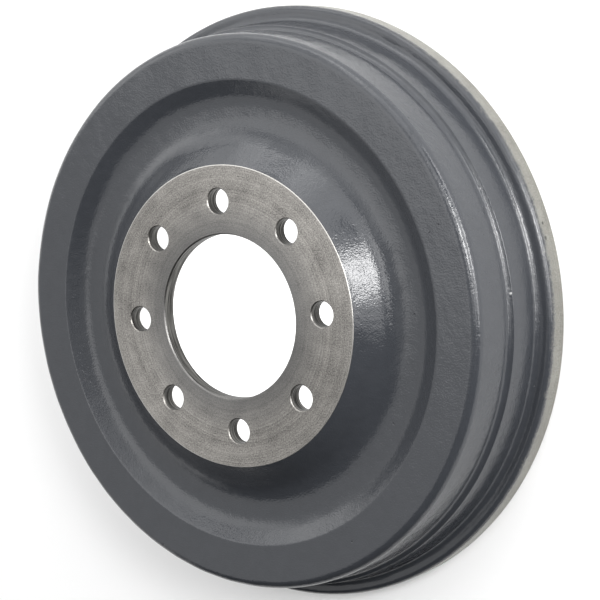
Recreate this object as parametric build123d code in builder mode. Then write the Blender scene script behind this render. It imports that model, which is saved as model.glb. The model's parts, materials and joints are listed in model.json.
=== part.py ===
from build123d import *

import os
from math import radians, sin, tan

# Cast-iron brake drum, 14 in by 2 in, eight bolts on a 6 in circle.
# Frame: the drum stands on its machined open rim. The origin is the centre of that rim's plane,
# +Z is the drum's axis and points out of the mounting face, and +X passes through a bolt hole.
# Units are millimetres. The drum is one casting, turned on its working faces.

# --- overall and working sizes ---
overall_height = 86.5  # open rim to mounting face
friction_dia = 355.6  # 14 in working surface
friction_corner_radius = 8.0  # keeps the working surface below the underside of the trough
friction_lead_in = 2.0

# --- mounting disc ---
mount_face_dia = 200.8  # turned disc that the wheel sits against
mount_plate = 9.0  # thickness between the mounting face and the hub seat
mount_edge_chamfer = 0.5
seat_corner_radius = 4.0
pilot_bore_dia = 109.0
bore_chamfer = 0.8
bolt_circle_dia = 152.4
bolt_count = 8
bolt_hole_dia = 17.0
bolt_hole_chamfer = 0.6

# --- web: cone, annular trough and ring face, outside surface ---
web_thickness = 10.0
cone_angle = 42.5  # slope of the cone below the mounting face, degrees from that face
cone_foot_radius = 28.0
trough_depth = 7.7  # ring face to the bottom of the trough
trough_wall_angle = 30.0  # slope of the trough's outer wall, degrees
trough_wall_radius = 20.0
crest_radius = 3.0  # edge between the trough and the ring face
ring_drop = 11.5  # mounting face to the ring face
ring_overhang = 22.8  # the crest lies this far inside the friction surface
under_crest_radius = 8.0

# --- drum wall, outside surface ---
wall_thickness = 7.0  # friction surface to the outside, at the level of the ring face
wall_draft = 2.0  # degrees, from the shoulder down to the step
lower_wall_draft = 5.5  # degrees, from the step down to the flange
shoulder_radius = 6.3
step_height = 40.0  # open rim to the edge of the step
step_width = 3.6  # how far the step stands out from the wall
step_slope = 20.0  # fall of the step towards its edge, degrees
step_radius = 0.4
root_radius = 5.0  # fillet in front of the step and of the flange
rim_width = 24.7  # friction surface to the edge of the flange
flange_thickness = 16.2
flange_radius = 4.0
rim_bevel = 0.8

# --- levels and radii worked out from the sizes above ---
bore_r = pilot_bore_dia / 2
mount_r = mount_face_dia / 2
friction_r = friction_dia / 2
crest_r = friction_r - ring_overhang
shoulder_r = friction_r + wall_thickness
flange_r = friction_r + rim_width

seat_z = overall_height - mount_plate
ring_z = overall_height - ring_drop
trough_z = ring_z - trough_depth
under_ring_z = ring_z - web_thickness
under_trough_z = trough_z - web_thickness

cone = radians(cone_angle)
trough_wall = radians(trough_wall_angle)
draft = tan(radians(wall_draft))
lower_draft = tan(radians(lower_wall_draft))

# Corners of the outside outline: each is where two straight stretches would meet.
cone_drop = overall_height - mount_edge_chamfer - trough_z
cone_foot_r = mount_r + cone_drop / tan(cone)
trough_wall_r = crest_r - trough_depth / tan(trough_wall)
step_in_z = step_height + step_width * tan(radians(step_slope))
step_in_r = shoulder_r + (ring_z - step_in_z) * draft
step_out_r = step_in_r + step_width
flange_root_r = step_out_r + (step_height - flange_thickness) * lower_draft

# The inside of the web runs parallel to the outside, one web thickness below it.
seat_edge_r = mount_r + (mount_plate - mount_edge_chamfer) / tan(cone) - web_thickness / sin(cone)
under_foot_r = cone_foot_r - web_thickness * tan(cone / 2)
under_wall_r = trough_wall_r + web_thickness * tan(trough_wall / 2)
under_crest_r = crest_r + web_thickness * tan(trough_wall / 2)

# The closed section as corners with their radii: the bore, outwards over the mounting face and
# the web, down the wall, round the flange, and back along the inside. 0 is a sharp corner.
outline = [
    ((bore_r, seat_z), 0),
    ((bore_r, overall_height), 0),
    ((mount_r - mount_edge_chamfer, overall_height), 0),
    ((mount_r, overall_height - mount_edge_chamfer), 0),
    ((cone_foot_r, trough_z), cone_foot_radius),
    ((trough_wall_r, trough_z), trough_wall_radius),
    ((crest_r, ring_z), crest_radius),
    ((shoulder_r, ring_z), shoulder_radius),
    ((step_in_r, step_in_z), root_radius),
    ((step_out_r, step_height), step_radius),
    ((flange_root_r, flange_thickness), root_radius),
    ((flange_r, flange_thickness), flange_radius),
    ((flange_r, rim_bevel), 0),
    ((flange_r - rim_bevel, 0), 0),
    ((friction_r + friction_lead_in, 0), 0),
    ((friction_r, friction_lead_in), 0),
    ((friction_r, under_ring_z), friction_corner_radius),
    ((under_crest_r, under_ring_z), under_crest_radius),
    ((under_wall_r, under_trough_z), trough_wall_radius + web_thickness),
    ((under_foot_r, under_trough_z), cone_foot_radius + web_thickness),
    ((seat_edge_r, seat_z), seat_corner_radius),
]


def seated_radii(corners):
    """Radii of the corners, each no larger than the two straights beside it leave room for."""
    points = [Vector(*point) for point, radius in corners]
    ahead = points[1:] + points[:1]
    behind = points[-1:] + points[:-1]
    reaches = []
    for point, after, before, (_, radius) in zip(points, ahead, behind, corners):
        half_angle = radians((after - point).get_angle(before - point)) / 2
        reaches.append(radius / tan(half_angle))
    # A straight is shared by the fillets at its two ends; a little of it stays straight.
    shares = []
    for point, after, reach, next_reach in zip(points, ahead, reaches, reaches[1:] + reaches[:1]):
        wanted = max(reach + next_reach, 1e-6)
        shares.append(min(1, 0.98 * (after - point).length / wanted))
    limits = [min(share, earlier) for share, earlier in zip(shares, shares[-1:] + shares[:-1])]
    return [radius * limit for (_, radius), limit in zip(corners, limits)]


with BuildPart() as brake_drum:
    # The section, turned about the drum's axis.
    with BuildSketch(Plane.XZ) as section:
        with BuildLine():
            corner_points = [point for point, radius in outline]
            FilletPolyline(*corner_points, radius=seated_radii(outline), close=True)
        make_face()
    revolve(axis=Axis.Z)

    # Bolt holes, from the mounting face down through the plate.
    with Locations((0, 0, overall_height)):
        with PolarLocations(bolt_circle_dia / 2, bolt_count):
            Hole(bolt_hole_dia / 2)

    # Edge breaks of the bore and the bolt holes, the inner edges of the mounting face.
    mount_face = brake_drum.faces().filter_by(GeomType.PLANE).sort_by(Axis.Z)[-1]
    hole_edges = mount_face.edges().sort_by(SortBy.RADIUS)[: bolt_count + 1]
    chamfer(hole_edges[-1], bore_chamfer)
    chamfer(hole_edges[:-1], bolt_hole_chamfer)
brake_drum.part.label = "brake_drum"

os.makedirs("parts", exist_ok=True)
export_step(brake_drum.part, "parts/brake_drum.step")
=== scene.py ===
import json
from math import ceil, cos, pi, radians, sin, tan

import bpy
import numpy as np
from mathutils import Euler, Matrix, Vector


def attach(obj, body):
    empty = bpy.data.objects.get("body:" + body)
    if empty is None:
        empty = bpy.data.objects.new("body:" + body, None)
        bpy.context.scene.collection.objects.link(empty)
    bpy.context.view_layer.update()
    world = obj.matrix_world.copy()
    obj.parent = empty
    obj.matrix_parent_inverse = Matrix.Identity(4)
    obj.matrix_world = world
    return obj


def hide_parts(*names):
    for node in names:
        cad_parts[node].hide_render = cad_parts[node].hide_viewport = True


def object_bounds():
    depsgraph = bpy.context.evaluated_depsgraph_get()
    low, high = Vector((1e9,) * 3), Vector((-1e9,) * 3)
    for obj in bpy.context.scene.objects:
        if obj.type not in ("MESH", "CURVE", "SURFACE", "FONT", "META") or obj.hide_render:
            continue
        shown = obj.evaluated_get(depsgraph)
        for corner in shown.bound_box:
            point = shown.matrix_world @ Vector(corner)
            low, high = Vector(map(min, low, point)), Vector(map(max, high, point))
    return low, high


# Cast-iron brake drum standing on its open rim, +Z out of the mounting face, in metres.
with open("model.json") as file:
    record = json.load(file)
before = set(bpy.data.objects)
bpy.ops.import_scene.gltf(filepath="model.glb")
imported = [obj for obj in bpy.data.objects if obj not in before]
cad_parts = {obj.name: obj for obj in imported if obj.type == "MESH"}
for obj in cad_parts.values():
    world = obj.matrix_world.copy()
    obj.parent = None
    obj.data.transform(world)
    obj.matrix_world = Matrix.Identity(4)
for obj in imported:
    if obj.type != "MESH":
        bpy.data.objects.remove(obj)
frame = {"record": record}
cad_low, cad_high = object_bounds()

MM = 0.001

# --- sizes read from the frame ---
mounts = {mount["name"]: mount for mount in frame["record"]["mounts"]}
overall_height = cad_high.z
flange_r = cad_high.x
bore_r = mounts["pilot_bore"]["dims"]["r_mm"] * MM
friction_r = mounts["friction_surface"]["dims"]["r_mm"] * MM
bolt_circle_r = mounts["bolt_holes"]["dims"]["pcd_mm"] * MM / 2
bolt_hole_r = mounts["bolt_holes"]["dims"]["hole_r_mm"] * MM
bolt_count = mounts["bolt_holes"]["dims"]["count"]
seat_z = mounts["hub_seat"]["pos_m"][2]

# --- mounting disc and edge breaks ---
mount_face_r = 100.4 * MM
mount_edge_chamfer = 0.5 * MM
mount_edge_round = 0.4 * MM  # how far the round of that edge reaches onto the face
mount_edge_land = 0.04 * MM  # turned strip between that round and the drilled flat
mount_flat_r = mount_face_r - mount_edge_chamfer - mount_edge_round - mount_edge_land
bore_chamfer = 0.8 * MM
bolt_hole_chamfer = 0.6 * MM
seat_corner_radius = 4.0 * MM

# --- web: cone, trough and ring face ---
web_thickness = 10.0 * MM
cone_angle = radians(42.5)
mount_edge_radius = mount_edge_round / tan(cone_angle / 2)
cone_foot_radius = 28.0 * MM
ring_z = overall_height - 11.5 * MM
trough_z = ring_z - 7.7 * MM
trough_wall_angle = radians(30.0)
trough_wall_radius = 20.0 * MM
crest_r = friction_r - 22.8 * MM
crest_radius = 3.0 * MM
under_crest_radius = 8.0 * MM

# --- drum wall ---
shoulder_r = friction_r + 7.0 * MM
shoulder_radius = 6.3 * MM
wall_draft = tan(radians(2.0))
lower_wall_draft = tan(radians(5.5))
step_z = 40.0 * MM
step_width = 3.6 * MM
step_slope = tan(radians(20.0))
step_radius = 0.6 * MM
step_root_radius = 4.2 * MM
root_radius = 5.0 * MM
flange_z = 16.2 * MM
flange_radius = 4.0 * MM
rim_bevel = 0.8 * MM
friction_lead_in = 2.0 * MM
friction_corner_radius = 8.0 * MM

# --- finishes of the casting's stretches ---
PAINTED, TURNED, RIM, DRILLED, INSIDE = range(5)

# --- mesh spacing ---
columns = 400  # points round the drum, a multiple of twice the bolt count
spacing = {PAINTED: 2.5 * MM, TURNED: 8.0 * MM, RIM: 2.0 * MM, DRILLED: 2.0 * MM, INSIDE: 5.0 * MM}
arc_step = radians(8.0)
side_points = 14  # points on each straight side of a bolt hole's sector
hole_rings = 4  # rings of points from a bolt hole to the edge of its sector
hole_ring_growth = 1.3  # above 1 draws these rings towards the hole
weld_grid = 0.001 * MM  # points that fall on the same step of this grid are one
crease_angle = radians(30)

# --- unevenness of the cast skin ---
swell_seed = 4
swell_waves = 28
swell_height = 0.022 * MM  # of each wave
swell_lengths = (18 * MM, 75 * MM)

# --- skin of the painted casting ---
cast_grain = 1.1 * MM
cast_grain_height = 0.125  # millimetres
cast_lumps = 6.5 * MM
cast_lumps_height = 0.22  # millimetres
pinhole_spacing = 24 * MM
pinhole_size = 0.9 * MM
pinhole_height = -0.25  # millimetres
pinhole_shade = 0.6
enamel_roughness = 0.15
enamel_ior = 1.5

# --- edge of the overspray on the rim, a level with two sizes of noise added ---
overspray_z = 12.0 * MM
overspray_wander = 4.0 * MM
wander_size = 9.0 * MM
overspray_speckle = 8.0 * MM
speckle_size = 0.9 * MM
overspray_fade = 5.0 * MM

# --- marks on the casting, as (angle in degrees, radius, height, size): pits in the rim, and a
# burr at the edge of the step, lightened with a painted highlight ---
rim_pits = ((13.1, 202.5 * MM, 9.4 * MM, 1.6 * MM), (10.4, 202.5 * MM, 10.6 * MM, 2.0 * MM))
pit_height = -0.3  # millimetres
pit_shade = 0.75
step_burr_and_highlight = (1.6, 188.5 * MM, 40.3 * MM, 1.2 * MM)
burr_height = 0.15  # millimetres
mark_core = 0.3  # share of a mark's size that has its full strength

# --- skin of the machined iron, its marks drawn coarser than a lathe's feed ---
turning_rings = 1.1 * MM
iron_flakes = 0.9 * MM
iron_flakes_height = 0.05  # millimetres
iron_cloud = 14 * MM
ring_weight, cloud_weight = 0.35, 0.35  # of the rings and the cloud in the tone, beside the flakes
tone_range = (0.6, 1.1)  # sums of the three that give the dark and the light tone
turned_roughness = 0.42
turned_anisotropy = 0.5
bore_darkening_zone = (3 * MM, 26 * MM)  # beyond the bore, from darkest to not darkened
bore_darkening_share = 0.7
edge_highlight_core = 0.6  # share of the edge's round that has the full painted highlight
edge_highlight_share = 0.6

# --- skin of the drilled walls ---
tool_feed = 1.0 * MM  # between the tool's rings
feed_stretch = 0.04  # scale of the pattern round the wall, to that down it
feed_range = (0.36, 0.64)  # values of the pattern that give the dark and the light tone
feed_height = 0.3  # millimetres
drilled_roughness = 0.5


def section_corners():
    """Corners of the closed section: (radius, height), fillet, and finish of the stretch after it."""
    cone_drop = overall_height - mount_edge_chamfer - trough_z
    cone_foot_r = mount_face_r + cone_drop / tan(cone_angle)
    trough_wall_r = crest_r - (ring_z - trough_z) / tan(trough_wall_angle)
    step_in_z = step_z + step_width * step_slope
    step_in_r = shoulder_r + (ring_z - step_in_z) * wall_draft
    step_out_r = step_in_r + step_width
    flange_root_r = step_out_r + (step_z - flange_z) * lower_wall_draft
    seat_drop = overall_height - mount_edge_chamfer - seat_z
    seat_edge_r = mount_face_r + seat_drop / tan(cone_angle) - web_thickness / sin(cone_angle)
    under_ring_z = ring_z - web_thickness
    under_trough_z = trough_z - web_thickness
    under_foot_r = cone_foot_r - web_thickness * tan(cone_angle / 2)
    under_wall_r = trough_wall_r + web_thickness * tan(trough_wall_angle / 2)
    under_crest_r = crest_r + web_thickness * tan(trough_wall_angle / 2)
    return [
        ((mount_flat_r, overall_height), 0, TURNED),
        ((mount_face_r - mount_edge_chamfer, overall_height), mount_edge_radius, PAINTED),
        ((cone_foot_r, trough_z), cone_foot_radius, PAINTED),
        ((trough_wall_r, trough_z), trough_wall_radius, PAINTED),
        ((crest_r, ring_z), crest_radius, PAINTED),
        ((shoulder_r, ring_z), shoulder_radius, PAINTED),
        ((step_in_r, step_in_z), step_root_radius, PAINTED),
        ((step_out_r, step_z), step_radius, PAINTED),
        ((flange_root_r, flange_z), root_radius, RIM),
        ((flange_r, flange_z), flange_radius, RIM),
        ((flange_r, rim_bevel), 0, TURNED),
        ((flange_r - rim_bevel, 0), 0, TURNED),
        ((friction_r + friction_lead_in, 0), 0, TURNED),
        ((friction_r, friction_lead_in), 0, TURNED),
        ((friction_r, under_ring_z), friction_corner_radius, INSIDE),
        ((under_crest_r, under_ring_z), under_crest_radius, INSIDE),
        ((under_wall_r, under_trough_z), trough_wall_radius + web_thickness, INSIDE),
        ((under_foot_r, under_trough_z), cone_foot_radius + web_thickness, INSIDE),
        ((seat_edge_r, seat_z), seat_corner_radius, TURNED),
        ((bore_r, seat_z), 0, TURNED),
    ]


def section_line():
    """Points along the section and the finish that follows each, up to the last fillet.

    A corner becomes an arc that touches its two straights: the arc's centre lies on the corner's
    bisector at fillet / sin(half the corner's angle), and the arc runs between the two points
    fillet / tan(half the angle) away along the straights. Point k of n on a straight lies a share
    (1 - cos(pi k / n)) / 2 along it, closer together towards the fillets.
    """
    corners = section_corners()
    arcs = []
    for before, (corner, fillet, finish), after in zip(corners[-1:] + corners, corners, corners[1:]):
        here = np.array(corner)
        to_last = np.array(before[0]) - here
        to_next = np.array(after[0]) - here
        to_last = to_last / np.linalg.norm(to_last)
        to_next = to_next / np.linalg.norm(to_next)
        if fillet == 0:
            arcs.append((here[None], finish, before[2]))
            continue
        half = np.arccos(to_last @ to_next) / 2
        bisector = (to_last + to_next) / np.linalg.norm(to_last + to_next)
        centre = here + bisector * fillet / np.sin(half)
        first = here + to_last * fillet / np.tan(half) - centre
        last = here + to_next * fillet / np.tan(half) - centre
        start = np.arctan2(first[1], first[0])
        turn = (np.arctan2(last[1], last[0]) - start + pi) % (2 * pi) - pi
        steps = max(2, ceil(abs(turn) / arc_step), ceil(abs(turn) * fillet / spacing[finish]))
        angles = start + turn * np.linspace(0, 1, steps + 1)
        arcs.append((centre + fillet * np.c_[np.cos(angles), np.sin(angles)], finish, before[2]))
    points = [arcs[0][0]]
    finishes = []
    for (last_arc, finish, _), (arc, _, arc_finish) in zip(arcs, arcs[1:]):
        gap = arc[0] - last_arc[-1]
        cuts = ceil(np.linalg.norm(gap) / spacing[finish])
        shares = (1 - np.cos(pi * np.arange(1, cuts) / cuts)) / 2
        points += [last_arc[-1] + gap * shares[:, None], arc]
        finishes += [finish] * cuts + [arc_finish] * (len(arc) - 1)
    return np.concatenate(points), np.array(finishes)


def ring_angles():
    """Angles of the points round the drum. The sides of the bolt holes' sectors fall on them."""
    return np.arange(columns) * 2 * pi / columns


def swell(points):
    """Unevenness of the sand mould: a sum of plane waves of random direction, length and phase."""
    rng = np.random.default_rng(swell_seed)
    total = np.zeros(points.shape[:-1])
    for _ in range(swell_waves):
        way = rng.normal(size=3)
        way /= np.linalg.norm(way)
        length = rng.uniform(*swell_lengths)
        phase = rng.uniform(0, 2 * pi)
        total += swell_height * np.sin(2 * pi * points @ way / length + phase)
    return total


def turned_body():
    """The section carried round the axis: each point (r, z) becomes (r cos a, r sin a, z).

    Points with the cast skin on both sides move out along the section's normal by the swell.
    """
    line, finishes = section_line()
    angles = ring_angles()
    points = np.empty((len(line), columns, 3))
    points[..., 0] = line[:, :1] * np.cos(angles)
    points[..., 1] = line[:, :1] * np.sin(angles)
    points[..., 2] = line[:, 1:]
    along = np.gradient(line, axis=0)
    along /= np.linalg.norm(along, axis=1)[:, None]
    cast = np.isin(finishes, (PAINTED, INSIDE))
    cast = np.concatenate([[False], cast[1:] & cast[:-1], [False]])
    moved = np.where(cast[:, None], swell(points), 0)
    points[..., 0] -= moved * along[:, 1:] * np.cos(angles)
    points[..., 1] -= moved * along[:, 1:] * np.sin(angles)
    points[..., 2] += moved * along[:, :1]
    return points, finishes


def bore_wall():
    """The bore with its chamfer, from the seat up to the mounting face."""
    angles = ring_angles()
    heights = np.array([seat_z, overall_height - bore_chamfer, overall_height])
    radii = np.array([bore_r, bore_r, bore_r + bore_chamfer])
    points = np.empty((3, columns, 3))
    points[..., 0] = radii[:, None] * np.cos(angles)
    points[..., 1] = radii[:, None] * np.sin(angles)
    points[..., 2] = heights[:, None]
    return points, [DRILLED, TURNED]


def sector_edge(inner_r, outer_r, middle):
    """The closed edge of one bolt hole's sector: out along a side, round, in along the other, back."""
    per_sector = columns // bolt_count
    half = pi / bolt_count
    across = middle + np.linspace(-half, half, per_sector + 1)
    radii = np.linspace(inner_r, outer_r, side_points + 2)
    angle = np.concatenate([np.full(side_points + 1, across[0]), across[:-1],
                            np.full(side_points + 1, across[-1]), across[:0:-1]])
    radius = np.concatenate([radii[:-1], np.full(per_sector, outer_r),
                             radii[:0:-1], np.full(per_sector, inner_r)])
    return np.c_[radius * np.cos(angle), radius * np.sin(angle)]


def holed_sectors():
    """The mounting plate: each bolt hole with its sector of the mounting face and of the hub seat.

    A face is a grid round its hole: the point at (u, v) lies a share v of the way from the hole's
    circle to the sector's edge, on the straight line from the hole's centre to edge point u.
    """
    seat_edge = section_line()[0][-1, 0]
    shares = np.linspace(0, 1, hole_rings)[:, None, None] ** hole_ring_growth
    patches = []
    for k in range(bolt_count):
        middle = 2 * pi * k / bolt_count
        centre = bolt_circle_r * np.array([np.cos(middle), np.sin(middle)])
        top_edge = sector_edge(bore_r + bore_chamfer, mount_flat_r, middle)
        seat = sector_edge(bore_r, seat_edge, middle)
        top_way = (top_edge - centre) / np.linalg.norm(top_edge - centre, axis=1)[:, None]
        seat_way = (seat - centre) / np.linalg.norm(seat - centre, axis=1)[:, None]
        top_hole = centre + top_way * (bolt_hole_r + bolt_hole_chamfer)
        seat_hole = centre + seat_way * bolt_hole_r
        top = np.empty((hole_rings, len(top_edge), 3))
        top[..., :2] = top_hole + (top_edge - top_hole) * shares
        top[..., 2] = overall_height
        under = np.empty((hole_rings, len(seat), 3))
        under[..., :2] = seat_hole + (seat - seat_hole) * shares
        under[..., 2] = seat_z
        wall = np.empty((3, len(seat), 3))
        wall[0, :, :2] = seat_hole
        wall[1, :, :2] = centre + top_way * bolt_hole_r
        wall[2, :, :2] = top_hole
        wall[:, :, 2] = np.array([seat_z, overall_height - bolt_hole_chamfer, overall_height])[:, None]
        patches.append((top, [TURNED] * (hole_rings - 1)))
        patches.append((under[::-1], [TURNED] * (hole_rings - 1)))
        patches.append((wall, [DRILLED, TURNED]))
    return patches


def joined(patches):
    """Points, quads and finishes of all patches, with points at the same place made one.

    Point (i, j) of a patch's grid is corner i * across + j. A quad joins it to (i + 1, j),
    (i + 1, j + 1) and (i, j + 1), where j + 1 goes back to 0 after the last point of a row.
    """
    points = []
    quads = []
    finishes = []
    count = 0
    for grid, row_finish in patches:
        rows, across = grid.shape[:2]
        index = count + np.arange(rows * across).reshape(rows, across)
        beside = np.roll(index, -1, axis=1)
        quad = np.stack([index[:-1], index[1:], beside[1:], beside[:-1]], axis=-1)
        quads.append(quad.reshape(-1, 4))
        finishes.append(np.repeat(row_finish, across))
        points.append(grid.reshape(-1, 3))
        count += rows * across
    points = np.concatenate(points)
    _, first, place = np.unique(np.round(points / weld_grid), axis=0,
                                return_index=True, return_inverse=True)
    return points[first], place.ravel()[np.concatenate(quads)], np.concatenate(finishes)


def srgb(code):
    """A linear colour from an sRGB hex code."""
    channels = np.array([int(code[i:i + 2], 16) for i in (1, 3, 5)]) / 255
    linear = np.where(channels <= 0.04045, channels / 12.92, ((channels + 0.055) / 1.055) ** 2.4)
    return (*linear, 1.0)


def add_node(tree, kind, inputs, **settings):
    """Adds a node with its settings. Each input gets a plain value or a link from an output."""
    node = tree.nodes.new(kind)
    for name, value in settings.items():
        setattr(node, name, value)
    for name, value in inputs.items():
        if isinstance(value, bpy.types.NodeSocket):
            tree.links.new(value, node.inputs[name])
        else:
            node.inputs[name].default_value = value
    return node


def new_material(name):
    """A material with an empty node tree, and that tree."""
    material = bpy.data.materials.new(name)
    material.use_nodes = True
    tree = material.node_tree
    tree.nodes.clear()
    return material, tree


def object_place(tree):
    """The place of each point in the object's own frame, which the patterns follow."""
    return add_node(tree, "ShaderNodeTexCoord", {}).outputs["Object"]


def add_surface(tree, inputs):
    """A principled surface with the given inputs, wired to the material's output."""
    shader = add_node(tree, "ShaderNodeBsdfPrincipled", inputs)
    add_node(tree, "ShaderNodeOutputMaterial", {"Surface": shader.outputs["BSDF"]})


def math_node(tree, operation, first, second=0.0, third=0.0):
    """The result of one arithmetic step on up to three values."""
    node = tree.nodes.new("ShaderNodeMath")
    node.operation = operation
    for socket, value in zip(node.inputs, (first, second, third)):
        if isinstance(value, bpy.types.NodeSocket):
            tree.links.new(value, socket)
        else:
            socket.default_value = value
    return node.outputs["Value"]


def noise(tree, place, size, detail=2.0, roughness=0.5):
    """Cloudy noise from 0 to 1 with features of the given size."""
    node = add_node(tree, "ShaderNodeTexNoise",
                    {"Vector": place, "Scale": 1 / size, "Detail": detail, "Roughness": roughness})
    return node.outputs["Fac"]


def blend(tree, share, first, second, kind="RGBA"):
    """Goes from the first colour to the second as the share goes from 0 to 1."""
    node = add_node(tree, "ShaderNodeMix", {"Factor": share, "A": first, "B": second}, data_type=kind)
    return node.outputs["Result"]


def ramp(tree, value, start, end, low=0.0, high=1.0, curve="LINEAR"):
    """Goes from low to high as the value goes from start to end, and stays there beyond them."""
    node = add_node(tree, "ShaderNodeMapRange",
                    {"Value": value, "From Min": start, "From Max": end, "To Min": low, "To Max": high},
                    interpolation_type=curve)
    return node.outputs["Result"]


def spot(tree, place, angle, radius, height, size):
    """A soft round mark: 1 at its middle, 0 outside its size."""
    middle = (radius * cos(radians(angle)), radius * sin(radians(angle)), height)
    away = add_node(tree, "ShaderNodeVectorMath", {"Vector": place}, operation="DISTANCE")
    away.inputs[1].default_value = middle
    return ramp(tree, away.outputs["Value"], size, mark_core * size, curve="SMOOTHSTEP")


def enamel_skin(tree, place):
    """Colour and height in millimetres of sprayed enamel over sand-cast iron."""
    grain = noise(tree, place, cast_grain, detail=1.0)
    lumps = noise(tree, place, cast_lumps)
    cells = add_node(tree, "ShaderNodeTexVoronoi", {"Vector": place, "Scale": 1 / pinhole_spacing})
    hole_size = pinhole_size / pinhole_spacing
    pinhole = ramp(tree, cells.outputs["Distance"], hole_size, mark_core * hole_size, curve="SMOOTHSTEP")
    burr_and_highlight = spot(tree, place, *step_burr_and_highlight)
    height = math_node(tree, "MULTIPLY", grain, cast_grain_height)
    height = math_node(tree, "MULTIPLY_ADD", lumps, cast_lumps_height, height)
    height = math_node(tree, "MULTIPLY_ADD", pinhole, pinhole_height, height)
    height = math_node(tree, "MULTIPLY_ADD", burr_and_highlight, burr_height, height)
    colour = blend(tree, lumps, srgb("#303236"), srgb("#36383c"))
    colour = blend(tree, math_node(tree, "MULTIPLY", pinhole, pinhole_shade), colour, srgb("#232427"))
    # The burr's light colour, far brighter than the enamel, is a painted highlight.
    colour = blend(tree, math_node(tree, "MULTIPLY", burr_and_highlight, grain), colour, srgb("#d8d8d8"))
    return colour, height


def turned_skin(tree, place, dark, light):
    """Colour and height in millimetres of turned grey iron between a dark and a light tone."""
    axes = add_node(tree, "ShaderNodeSeparateXYZ", {"Vector": place})
    radius_squared = math_node(tree, "MULTIPLY", axes.outputs["X"], axes.outputs["X"])
    radius_squared = math_node(tree, "MULTIPLY_ADD", axes.outputs["Y"], axes.outputs["Y"], radius_squared)
    radius = math_node(tree, "SQRT", radius_squared)
    section = add_node(tree, "ShaderNodeCombineXYZ", {"X": radius, "Z": axes.outputs["Z"]})
    rings = noise(tree, section.outputs["Vector"], turning_rings, detail=1.0)
    flakes = noise(tree, place, iron_flakes, detail=3.0, roughness=0.6)
    cloud = noise(tree, place, iron_cloud)
    tone = math_node(tree, "MULTIPLY_ADD", rings, ring_weight, flakes)
    tone = math_node(tree, "MULTIPLY_ADD", cloud, cloud_weight, tone)
    colour = blend(tree, ramp(tree, tone, *tone_range), dark, light)
    # The face is darker towards the bore.
    bore_darkening = ramp(tree, radius, bore_r + bore_darkening_zone[0], bore_r + bore_darkening_zone[1], bore_darkening_share, 0.0)
    colour = blend(tree, bore_darkening, colour, srgb("#636363"))
    # Its round edge is painted lighter: a painted highlight.
    from_edge = math_node(tree, "SUBTRACT", radius, mount_face_r - mount_edge_chamfer)
    from_edge = math_node(tree, "ABSOLUTE", from_edge)
    edge_highlight = ramp(tree, from_edge, edge_highlight_core * mount_edge_round, mount_edge_round,
                     edge_highlight_share, 0.0)
    colour = blend(tree, edge_highlight, colour, srgb("#d2d0cc"))
    height = math_node(tree, "MULTIPLY", flakes, iron_flakes_height)
    return colour, height


def bumped(tree, height):
    """The shading normal over a height in millimetres."""
    node = add_node(tree, "ShaderNodeBump", {"Height": height, "Distance": MM, "Strength": 1.0})
    return node.outputs["Normal"]


def enamel_over_cast_iron():
    """Machinery enamel sprayed over a sand-cast skin: a glossy film over grains and pinholes."""
    material, tree = new_material("sprayed_enamel_on_cast_iron")
    place = object_place(tree)
    colour, height = enamel_skin(tree, place)
    add_surface(tree, {"Base Color": colour, "Roughness": enamel_roughness, "IOR": enamel_ior,
                       "Normal": bumped(tree, height)})
    return material


def turned_cast_iron():
    """Bare grey cast iron, turned on a lathe: fine circles spread the light across them."""
    material, tree = new_material("turned_grey_cast_iron")
    place = object_place(tree)
    colour, height = turned_skin(tree, place, srgb("#5a5856"), srgb("#a5a29d"))
    round_axis = add_node(tree, "ShaderNodeTangent", {}, direction_type="RADIAL", axis="Z")
    quarter_turn = 0.25
    add_surface(tree, {"Base Color": colour, "Metallic": 1.0, "Roughness": turned_roughness,
                       "Anisotropic": turned_anisotropy, "Anisotropic Rotation": quarter_turn,
                       "Tangent": round_axis.outputs["Tangent"], "Normal": bumped(tree, height)})
    return material


def drilled_cast_iron():
    """Bored and drilled grey iron: dull, with the tool's rings one feed apart down the walls."""
    material, tree = new_material("drilled_grey_cast_iron")
    place = object_place(tree)
    stretched = add_node(tree, "ShaderNodeMapping",
                         {"Vector": place, "Scale": (feed_stretch, feed_stretch, 1.0)})
    feed = noise(tree, stretched.outputs["Vector"], tool_feed, roughness=0.6)
    colour = blend(tree, ramp(tree, feed, *feed_range), srgb("#1e1d1b"), srgb("#6b6a67"))
    height = math_node(tree, "MULTIPLY", feed, feed_height)
    add_surface(tree, {"Base Color": colour, "Metallic": 1.0, "Roughness": drilled_roughness,
                       "Normal": bumped(tree, height)})
    return material


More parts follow.
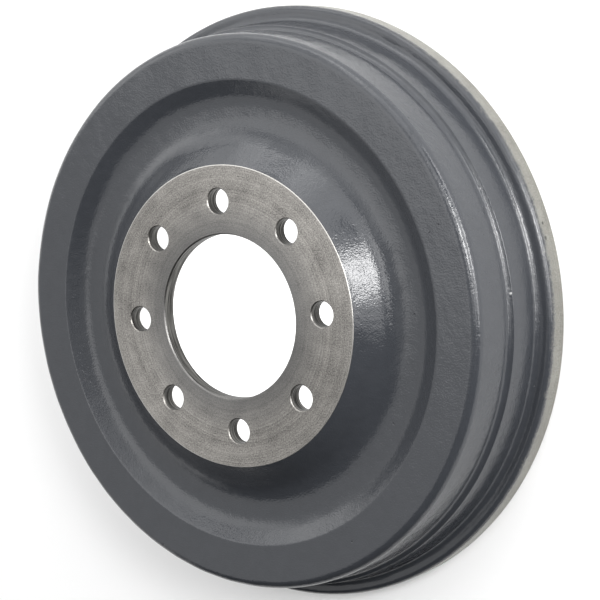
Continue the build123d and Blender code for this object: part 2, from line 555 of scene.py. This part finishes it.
def rim_with_overspray():
    """The turned rim of the flange, bare below a ragged edge of overspray."""
    material, tree = new_material("turned_rim_with_overspray")
    place = object_place(tree)
    enamel_colour, enamel_height = enamel_skin(tree, place)
    # The rim's bare iron gets lighter tones than the mounting face's turned iron: painted light on the
    # band.
    iron_colour_with_painted_light, iron_height = turned_skin(tree, place, srgb("#7a7873"), srgb("#abaaa3"))
    level = add_node(tree, "ShaderNodeSeparateXYZ", {"Vector": place}).outputs["Z"]
    wander = noise(tree, place, wander_size, detail=1.0)
    speckle = noise(tree, place, speckle_size)
    ragged = math_node(tree, "MULTIPLY_ADD", wander, overspray_wander, level)
    ragged = math_node(tree, "MULTIPLY_ADD", speckle, overspray_speckle, ragged)
    edge_level = overspray_z + (overspray_wander + overspray_speckle) / 2
    bare = ramp(tree, ragged, edge_level + overspray_fade / 2, edge_level - overspray_fade / 2,
                curve="SMOOTHSTEP")
    colour = blend(tree, bare, enamel_colour, iron_colour_with_painted_light)
    height = blend(tree, bare, enamel_height, iron_height, kind="FLOAT")
    for mark in rim_pits:
        pit = spot(tree, place, *mark)
        colour = blend(tree, math_node(tree, "MULTIPLY", pit, pit_shade), colour, srgb("#2a2a29"))
        height = math_node(tree, "MULTIPLY_ADD", pit, pit_height, height)
    roughness = math_node(tree, "MULTIPLY_ADD", bare, turned_roughness - enamel_roughness, enamel_roughness)
    add_surface(tree, {"Base Color": colour, "Metallic": bare, "Roughness": roughness, "IOR": enamel_ior,
                       "Normal": bumped(tree, height)})
    return material


def make_drum():
    """The whole casting as one closed surface."""
    points, quads, finishes = joined([turned_body(), bore_wall(), *holed_sectors()])
    mesh = bpy.data.meshes.new("brake_drum_casting")
    mesh.from_pydata(points.tolist(), [], quads.tolist())
    for make_material in (enamel_over_cast_iron, turned_cast_iron, rim_with_overspray, drilled_cast_iron):
        mesh.materials.append(make_material())
    slots = {PAINTED: 0, TURNED: 1, RIM: 2, DRILLED: 3, INSIDE: 0}
    mesh.polygons.foreach_set("material_index", [slots[finish] for finish in finishes])
    mesh.polygons.foreach_set("use_smooth", np.ones(len(quads), bool))
    mesh.set_sharp_from_angle(angle=crease_angle)
    drum = bpy.data.objects.new("brake_drum_casting", mesh)
    bpy.context.scene.collection.objects.link(drum)
    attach(drum, "root")
    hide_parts("brake_drum")


# --- stage, in metres, degrees and watts ---
drum_centre = Vector((0, 0, overall_height / 2))
floor_half = 4.0
floor_roughness = 0.9
floor_glow = 0.17  # lifts the card to an even white
room_glow = 0.01
camera_lens = 124.8  # millimetres
camera_place = (0.8557, 0.1146, 1.1469)
camera_turn = (-8.328, 36.309, -6.378)
bank_elevation = 10
bank_powers = {  # by azimuth
    52: 1.2, 71: 1.6, 90: 2.6, 110: 2.1, 130: 1.5, 150: 1.3, 170: 1.2, 190: 1.0, 210: 0.8,
}


def make_floor():
    """A matt white card, larger than the picture takes in."""
    mesh = bpy.data.meshes.new("floor")
    corners = [(x * floor_half, y * floor_half, 0) for x, y in ((-1, -1), (1, -1), (1, 1), (-1, 1))]
    mesh.from_pydata(corners, [], [(0, 1, 2, 3)])
    material, tree = new_material("matt_white_card")
    add_surface(tree, {"Base Color": srgb("#d7d7d7"), "Roughness": floor_roughness,
                       "Emission Color": srgb("#ffffff"), "Emission Strength": floor_glow})
    mesh.materials.append(material)
    floor = bpy.data.objects.new("floor", mesh)
    bpy.context.scene.collection.objects.link(floor)


def toward(azimuth, elevation):
    """The direction at an angle round the drum from +X and an angle above the floor, in degrees."""
    return Vector((cos(radians(elevation)) * cos(radians(azimuth)),
                   cos(radians(elevation)) * sin(radians(azimuth)), sin(radians(elevation))))


def softbox(name, direction, distance, width, height, power, shape="RECTANGLE"):
    """A flat lamp at a distance from the drum's centre, facing it."""
    data = bpy.data.lights.new(name, "AREA")
    data.shape = shape
    data.size = width
    data.size_y = height
    data.energy = power
    lamp = bpy.data.objects.new(name, data)
    away = Vector(direction).normalized()
    lamp.location = drum_centre + away * distance
    lamp.rotation_euler = away.to_track_quat("Z", "Y").to_euler()
    bpy.context.scene.collection.objects.link(lamp)


def make_camera():
    """A long lens that looks down on the mounting face from the +X side."""
    data = bpy.data.cameras.new("camera")
    data.lens = camera_lens
    camera = bpy.data.objects.new("camera", data)
    camera.location = camera_place
    camera.rotation_euler = Euler([radians(angle) for angle in camera_turn])
    bpy.context.scene.collection.objects.link(camera)
    bpy.context.scene.camera = camera


make_camera()
make_drum()
make_floor()

# Softboxes: name, direction, distance, width, height, power.
# The key and its wide halo stand below the lens, a little to its right, where the cone mirrors
# them. The high one is for the foot of the cone. The low and foot ones are what the shoulder,
# the edge of the step and the fillets of the wall mirror on the near side.
softbox("key", toward(18, 40.5), 1.5, 0.45, 0.34, 9.5)
softbox("key_halo", toward(11, 38), 1.5, 1.10, 0.50, 4.8)
softbox("key_high", toward(22, 62), 1.5, 0.80, 0.34, 4)
softbox("key_low", toward(13, 24), 1.5, 0.80, 0.30, 4)
softbox("key_foot", toward(14, 9), 1.5, 0.50, 0.36, 8.4)
softbox("foot_left", toward(-4, 10), 1.5, 0.40, 0.36, 3)
softbox("foot_side", toward(36, 10), 1.5, 0.50, 0.36, 4)

# A bank of low boxes goes on round the side and the back, with three wider ones above it.
for azimuth, power in bank_powers.items():
    softbox(f"low_{azimuth}", toward(azimuth, bank_elevation), 1.5, 0.50, 0.54, power)
softbox("mid_front", toward(70, 26), 1.5, 0.90, 0.45, 3.2)
softbox("near_side", toward(95, 26), 1.0, 0.60, 0.45, 1.2)
softbox("mid_back", toward(138, 28), 1.5, 1.20, 0.50, 3.4)

# Wide soft light from above fills the flat faces.
softbox("side_fill", toward(65, 45), 1.5, 1.2, 0.55, 4.8)
softbox("sky_side", toward(130, 62), 1.6, 1.4, 1.2, 7.5)
softbox("sky_back", toward(176, 53), 1.8, 2.4, 2.0, 14)
softbox("zenith", toward(0, 90), 1.6, 0.90, 0.90, 1.4)

# A lamp under the mounting plate keeps the card white through the bore and the bolt holes.
softbox("inside", (0, 0, 1), 12 * MM, 0.34, 0.34, 0.6, "ELLIPSE")

world = bpy.data.worlds.new("studio")
world.use_nodes = True
world.node_tree.nodes["Background"].inputs["Color"].default_value = srgb("#ffffff")
world.node_tree.nodes["Background"].inputs["Strength"].default_value = room_glow
bpy.context.scene.world = world
bpy.context.scene.view_settings.view_transform = "Standard"
